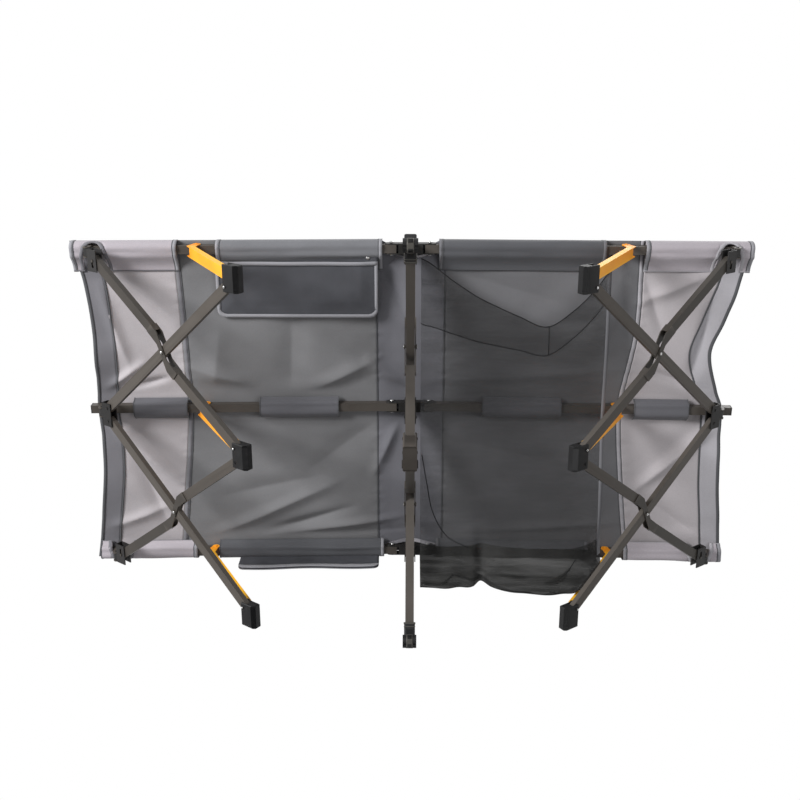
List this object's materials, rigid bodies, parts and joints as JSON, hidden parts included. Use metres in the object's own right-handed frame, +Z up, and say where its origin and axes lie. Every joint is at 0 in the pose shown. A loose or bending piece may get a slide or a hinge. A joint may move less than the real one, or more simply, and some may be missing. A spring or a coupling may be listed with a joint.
{
  "type": "folding cot",
  "caption": "Double folding camp cot: fabric bed on hinged rails over crossed leg sets, with props at the end feet, side pockets and a storage net slung under it.",
  "frame": {"origin": "on the floor under the middle of the cot", "axes": "+X along the bed, +Y across it, +Z up"},
  "size_m": [2.001, 1.2236, 0.4459],
  "materials": {
    "tube": "satin",
    "fitting": "satin",
    "orange": "satin",
    "foot": "matte",
    "cap": "matte",
    "bed": "woven",
    "sleeve": "woven",
    "pocket": "woven mesh",
    "net": "fine mesh"
  },
  "bodies": {
    "hub_centre": {"hub_centre": "fitting"},
    "mid_straight_north": {"mid_straight_leg_north": "tube", "mid_foot_north": "foot"},
    "mid_forked_north": {"mid_forked_leg_north": "tube"},
    "hub_north": {"hub_north": "fitting"},
    "mid_foot_centre": {"mid_foot_centre": "foot"},
    "mid_straight_south": {"mid_straight_leg_south": "tube", "mid_foot_south": "foot"},
    "mid_forked_south": {"mid_forked_leg_south": "tube"},
    "hub_south": {"hub_south": "fitting"},
    "rail_north_left": {"rail_north_left": "tube", "cap_north_left": "cap", "sleeves_north_left": "sleeve"},
    "knuckle_north_left": {"knuckle_north_left": "fitting"},
    "brace_north_left": {"brace_north_left": "orange"},
    "rail_north_right": {"rail_north_right": "tube", "cap_north_right": "cap", "sleeves_north_right": "sleeve"},
    "knuckle_north_right": {"knuckle_north_right": "fitting"},
    "brace_north_right": {"brace_north_right": "orange"},
    "rail_centre_left": {"rail_centre_left": "tube", "cap_centre_left": "cap", "sleeves_centre_left": "sleeve", "bed_left": "bed"},
    "knuckle_centre_left": {"knuckle_centre_left": "fitting"},
    "brace_centre_left": {"brace_centre_left": "orange"},
    "rail_centre_right": {"rail_centre_right": "tube", "cap_centre_right": "cap", "sleeves_centre_right": "sleeve", "bed_right": "bed", "storage_net": "net"},
    "knuckle_centre_right": {"knuckle_centre_right": "fitting"},
    "brace_centre_right": {"brace_centre_right": "orange"},
    "rail_south_left": {"rail_south_left": "tube", "cap_south_left": "cap", "sleeves_south_left": "sleeve"},
    "knuckle_south_left": {"knuckle_south_left": "fitting"},
    "brace_south_left": {"brace_south_left": "orange"},
    "rail_south_right": {"rail_south_right": "tube", "cap_south_right": "cap", "sleeves_south_right": "sleeve"},
    "knuckle_south_right": {"knuckle_south_right": "fitting"},
    "brace_south_right": {"brace_south_right": "orange"},
    "straight_leg_north_left": {"straight_leg_north_left": "tube"},
    "forked_leg_north_left": {"forked_leg_north_left": "tube"},
    "foot_north_left": {"foot_north_left": "foot"},
    "foot_centre_left": {"foot_centre_left": "foot"},
    "straight_leg_south_left": {"straight_leg_south_left": "tube"},
    "forked_leg_south_left": {"forked_leg_south_left": "tube"},
    "foot_south_left": {"foot_south_left": "foot"},
    "straight_leg_north_right": {"straight_leg_north_right": "tube"},
    "forked_leg_north_right": {"forked_leg_north_right": "tube"},
    "foot_north_right": {"foot_north_right": "foot"},
    "foot_centre_right": {"foot_centre_right": "foot"},
    "straight_leg_south_right": {"straight_leg_south_right": "tube"},
    "forked_leg_south_right": {"forked_leg_south_right": "tube"},
    "foot_south_right": {"foot_south_right": "foot"},
    "pocket_north": {"pocket_north": "pocket"},
    "pocket_south": {"pocket_south": "pocket"}
  },
  "joints": [
    {"name": "mid_scissor_north", "type": "hinge", "parent": "hub_centre", "child": "mid_straight_north", "pos_m": [0, -0.021, 0.384], "axis": [1, 0, 0], "range_deg": [0, 47.4]},
    {"name": "mid_crossing_north", "type": "hinge", "parent": "mid_straight_north", "child": "mid_forked_north", "pos_m": [0, -0.248, 0.24152], "axis": [-1, 0, 0], "range_deg": [0, 94.6]},
    {"name": "hub_swing_north", "type": "hinge", "parent": "mid_forked_north", "child": "hub_north", "pos_m": [0, -0.475, 0.384], "axis": [1, 0, 0], "range_deg": [0, 47.4]},
    {"name": "mid_foot_swing", "type": "hinge", "parent": "mid_forked_north", "child": "mid_foot_centre", "pos_m": [0, -0.021, 0.09904], "axis": [1, 0, 0], "range_deg": [0, 47.4]},
    {"name": "mid_scissor_south", "type": "hinge", "parent": "hub_centre", "child": "mid_straight_south", "pos_m": [0, 0.021, 0.384], "axis": [-1, 0, 0], "range_deg": [0, 47.4]},
    {"name": "mid_crossing_south", "type": "hinge", "parent": "mid_straight_south", "child": "mid_forked_south", "pos_m": [0, 0.248, 0.24152], "axis": [1, 0, 0], "range_deg": [0, 94.6]},
    {"name": "hub_swing_south", "type": "hinge", "parent": "mid_forked_south", "child": "hub_south", "pos_m": [0, 0.475, 0.384], "axis": [-1, 0, 0], "range_deg": [0, 47.4]},
    {"name": "rail_fold_north_left", "type": "hinge", "parent": "hub_north", "child": "rail_north_left", "pos_m": [-0.057, -0.495, 0.428], "axis": [0, -1, 0], "range_deg": [0, 52.1]},
    {"name": "knuckle_tilt_north_left", "type": "hinge", "parent": "rail_north_left", "child": "knuckle_north_left", "pos_m": [-0.94362, -0.495, 0.37012], "axis": [0, -1, 0], "range_deg": [0, 35.4]},
    {"name": "brace_swing_north_left", "type": "hinge", "parent": "rail_north_left", "child": "brace_north_left", "pos_m": [-0.62972, -0.495, 0.41], "axis": [0, -1, 0], "range_deg": [0, 64.1]},
    {"name": "rail_fold_north_right", "type": "hinge", "parent": "hub_north", "child": "rail_north_right", "pos_m": [0.057, -0.495, 0.428], "axis": [0, 1, 0], "range_deg": [0, 52.1]},
    {"name": "knuckle_tilt_north_right", "type": "hinge", "parent": "rail_north_right", "child": "knuckle_north_right", "pos_m": [0.94362, -0.495, 0.37012], "axis": [0, 1, 0], "range_deg": [0, 35.4]},
    {"name": "brace_swing_north_right", "type": "hinge", "parent": "rail_north_right", "child": "brace_north_right", "pos_m": [0.62972, -0.495, 0.41], "axis": [0, 1, 0], "range_deg": [0, 64.1]},
    {"name": "fold", "type": "hinge", "parent": "hub_centre", "child": "rail_centre_left", "pos_m": [-0.057, 0, 0.428], "axis": [0, -1, 0], "range_deg": [0, 52], "deforming": ["bed_left", "bed_right", "storage_net", "pocket_north", "pocket_south"]},
    {"name": "knuckle_tilt_centre_left", "type": "hinge", "parent": "rail_centre_left", "child": "knuckle_centre_left", "pos_m": [-0.94362, 0, 0.37012], "axis": [0, -1, 0], "range_deg": [0, 35.4]},
    {"name": "brace_swing_centre_left", "type": "hinge", "parent": "rail_centre_left", "child": "brace_centre_left", "pos_m": [-0.62972, 0, 0.41], "axis": [0, -1, 0], "range_deg": [0, 64.1]},
    {"name": "rail_fold_centre_right", "type": "hinge", "parent": "hub_centre", "child": "rail_centre_right", "pos_m": [0.057, 0, 0.428], "axis": [0, 1, 0], "range_deg": [0, 52.1]},
    {"name": "knuckle_tilt_centre_right", "type": "hinge", "parent": "rail_centre_right", "child": "knuckle_centre_right", "pos_m": [0.94362, 0, 0.37012], "axis": [0, 1, 0], "range_deg": [0, 35.4]},
    {"name": "brace_swing_centre_right", "type": "hinge", "parent": "rail_centre_right", "child": "brace_centre_right", "pos_m": [0.62972, 0, 0.41], "axis": [0, 1, 0], "range_deg": [0, 64.1]},
    {"name": "rail_fold_south_left", "type": "hinge", "parent": "hub_south", "child": "rail_south_left", "pos_m": [-0.057, 0.495, 0.428], "axis": [0, -1, 0], "range_deg": [0, 52.1]},
    {"name": "knuckle_tilt_south_left", "type": "hinge", "parent": "rail_south_left", "child": "knuckle_south_left", "pos_m": [-0.94362, 0.495, 0.37012], "axis": [0, -1, 0], "range_deg": [0, 35.4]},
    {"name": "brace_swing_south_left", "type": "hinge", "parent": "rail_south_left", "child": "brace_south_left", "pos_m": [-0.62972, 0.495, 0.41], "axis": [0, -1, 0], "range_deg": [0, 64.1]},
    {"name": "rail_fold_south_right", "type": "hinge", "parent": "hub_south", "child": "rail_south_right", "pos_m": [0.057, 0.495, 0.428], "axis": [0, 1, 0], "range_deg": [0, 52.1]},
    {"name": "knuckle_tilt_south_right", "type": "hinge", "parent": "rail_south_right", "child": "knuckle_south_right", "pos_m": [0.94362, 0.495, 0.37012], "axis": [0, 1, 0], "range_deg": [0, 35.4]},
    {"name": "brace_swing_south_right", "type": "hinge", "parent": "rail_south_right", "child": "brace_south_right", "pos_m": [0.62972, 0.495, 0.41], "axis": [0, 1, 0], "range_deg": [0, 64.1]},
    {"name": "scissor_north_left", "type": "hinge", "parent": "knuckle_centre_left", "child": "straight_leg_north_left", "pos_m": [-0.91289, -0.021, 0.34777], "axis": [0.5882, 0, 0.8087], "range_deg": [0, 32.1]},
    {"name": "crossing_north_left", "type": "hinge", "parent": "straight_leg_north_left", "child": "forked_leg_north_left", "pos_m": [-0.69444, -0.248, 0.18888], "axis": [-0.5882, 0, -0.8087], "range_deg": [0, 64.1]},
    {"name": "foot_swing_north_left", "type": "hinge", "parent": "straight_leg_north_left", "child": "foot_north_left", "pos_m": [-0.476, -0.475, 0.03], "axis": [-0.5882, 0, -0.8087], "range_deg": [0, 32.1]},
    {"name": "foot_swing_centre_left", "type": "hinge", "parent": "forked_leg_north_left", "child": "foot_centre_left", "pos_m": [-0.476, -0.021, 0.03], "axis": [0.5882, 0, 0.8087], "range_deg": [0, 32.1]},
    {"name": "scissor_south_left", "type": "hinge", "parent": "knuckle_centre_left", "child": "straight_leg_south_left", "pos_m": [-0.91289, 0.021, 0.34777], "axis": [-0.5882, 0, -0.8087], "range_deg": [0, 32.1]},
    {"name": "crossing_south_left", "type": "hinge", "parent": "straight_leg_south_left", "child": "forked_leg_south_left", "pos_m": [-0.69444, 0.248, 0.18888], "axis": [0.5882, 0, 0.8087], "range_deg": [0, 64.1]},
    {"name": "foot_swing_south_left", "type": "hinge", "parent": "straight_leg_south_left", "child": "foot_south_left", "pos_m": [-0.476, 0.475, 0.03], "axis": [0.5882, 0, 0.8087], "range_deg": [0, 32.1]},
    {"name": "scissor_north_right", "type": "hinge", "parent": "knuckle_centre_right", "child": "straight_leg_north_right", "pos_m": [0.91289, -0.021, 0.34777], "axis": [0.5882, 0, -0.8087], "range_deg": [0, 32.1]},
    {"name": "crossing_north_right", "type": "hinge", "parent": "straight_leg_north_right", "child": "forked_leg_north_right", "pos_m": [0.69444, -0.248, 0.18888], "axis": [-0.5882, 0, 0.8087], "range_deg": [0, 64.1]},
    {"name": "foot_swing_north_right", "type": "hinge", "parent": "straight_leg_north_right", "child": "foot_north_right", "pos_m": [0.476, -0.475, 0.03], "axis": [-0.5882, 0, 0.8087], "range_deg": [0, 32.1]},
    {"name": "foot_swing_centre_right", "type": "hinge", "parent": "forked_leg_north_right", "child": "foot_centre_right", "pos_m": [0.476, -0.021, 0.03], "axis": [0.5882, 0, -0.8087], "range_deg": [0, 32.1]},
    {"name": "scissor_south_right", "type": "hinge", "parent": "knuckle_centre_right", "child": "straight_leg_south_right", "pos_m": [0.91289, 0.021, 0.34777], "axis": [-0.5882, 0, 0.8087], "range_deg": [0, 32.1]},
    {"name": "crossing_south_right", "type": "hinge", "parent": "straight_leg_south_right", "child": "forked_leg_south_right", "pos_m": [0.69444, 0.248, 0.18888], "axis": [0.5882, 0, -0.8087], "range_deg": [0, 64.1]},
    {"name": "foot_swing_south_right", "type": "hinge", "parent": "straight_leg_south_right", "child": "foot_south_right", "pos_m": [0.476, 0.475, 0.03], "axis": [0.5882, 0, -0.8087], "range_deg": [0, 32.1]},
    {"name": "pocket_drop_north", "type": "hinge", "parent": "rail_north_left", "child": "pocket_north", "pos_m": [-0.3, -0.4799, 0.416], "axis": [-1, 0, 0], "range_deg": [0, 75]},
    {"name": "pocket_swing_south", "type": "hinge", "parent": "rail_south_left", "child": "pocket_south", "pos_m": [-0.30655, 0.5116, 0.40965], "axis": [0.9995, 0, 0.0314], "range_deg": [0, 80]}
  ],
  "couplings": [
    {"joint": "mid_scissor_north", "follows": "fold", "ratio": 0.9085},
    {"joint": "mid_crossing_north", "follows": "fold", "ratio": 1.817},
    {"joint": "hub_swing_north", "follows": "fold", "ratio": 0.9085},
    {"joint": "mid_foot_swing", "follows": "fold", "ratio": 0.9085},
    {"joint": "mid_scissor_south", "follows": "fold", "ratio": 0.9085},
    {"joint": "mid_crossing_south", "follows": "fold", "ratio": 1.817},
    {"joint": "hub_swing_south", "follows": "fold", "ratio": 0.9085},
    {"joint": "rail_fold_north_left", "follows": "fold", "ratio": 1},
    {"joint": "knuckle_tilt_north_left", "follows": "fold", "ratio": 0.6775},
    {"joint": "brace_swing_north_left", "follows": "fold", "ratio": 1.2294},
    {"joint": "rail_fold_north_right", "follows": "fold", "ratio": 1},
    {"joint": "knuckle_tilt_north_right", "follows": "fold", "ratio": 0.6775},
    {"joint": "brace_swing_north_right", "follows": "fold", "ratio": 1.2294},
    {"joint": "knuckle_tilt_centre_left", "follows": "fold", "ratio": 0.6775},
    {"joint": "brace_swing_centre_left", "follows": "fold", "ratio": 1.2294},
    {"joint": "rail_fold_centre_right", "follows": "fold", "ratio": 1},
    {"joint": "knuckle_tilt_centre_right", "follows": "fold", "ratio": 0.6775},
    {"joint": "brace_swing_centre_right", "follows": "fold", "ratio": 1.2294},
    {"joint": "rail_fold_south_left", "follows": "fold", "ratio": 1},
    {"joint": "knuckle_tilt_south_left", "follows": "fold", "ratio": 0.6775},
    {"joint": "brace_swing_south_left", "follows": "fold", "ratio": 1.2294},
    {"joint": "rail_fold_south_right", "follows": "fold", "ratio": 1},
    {"joint": "knuckle_tilt_south_right", "follows": "fold", "ratio": 0.6775},
    {"joint": "brace_swing_south_right", "follows": "fold", "ratio": 1.2294},
    {"joint": "scissor_north_left", "follows": "fold", "ratio": 0.61497},
    {"joint": "crossing_north_left", "follows": "fold", "ratio": 1.2299},
    {"joint": "foot_swing_north_left", "follows": "fold", "ratio": 0.61497},
    {"joint": "foot_swing_centre_left", "follows": "fold", "ratio": 0.61497},
    {"joint": "scissor_south_left", "follows": "fold", "ratio": 0.61497},
    {"joint": "crossing_south_left", "follows": "fold", "ratio": 1.2299},
    {"joint": "foot_swing_south_left", "follows": "fold", "ratio": 0.61497},
    {"joint": "scissor_north_right", "follows": "fold", "ratio": 0.61497},
    {"joint": "crossing_north_right", "follows": "fold", "ratio": 1.2299},
    {"joint": "foot_swing_north_right", "follows": "fold", "ratio": 0.61497},
    {"joint": "foot_swing_centre_right", "follows": "fold", "ratio": 0.61497},
    {"joint": "scissor_south_right", "follows": "fold", "ratio": 0.61497},
    {"joint": "crossing_south_right", "follows": "fold", "ratio": 1.2299},
    {"joint": "foot_swing_south_right", "follows": "fold", "ratio": 0.61497}
  ]
}
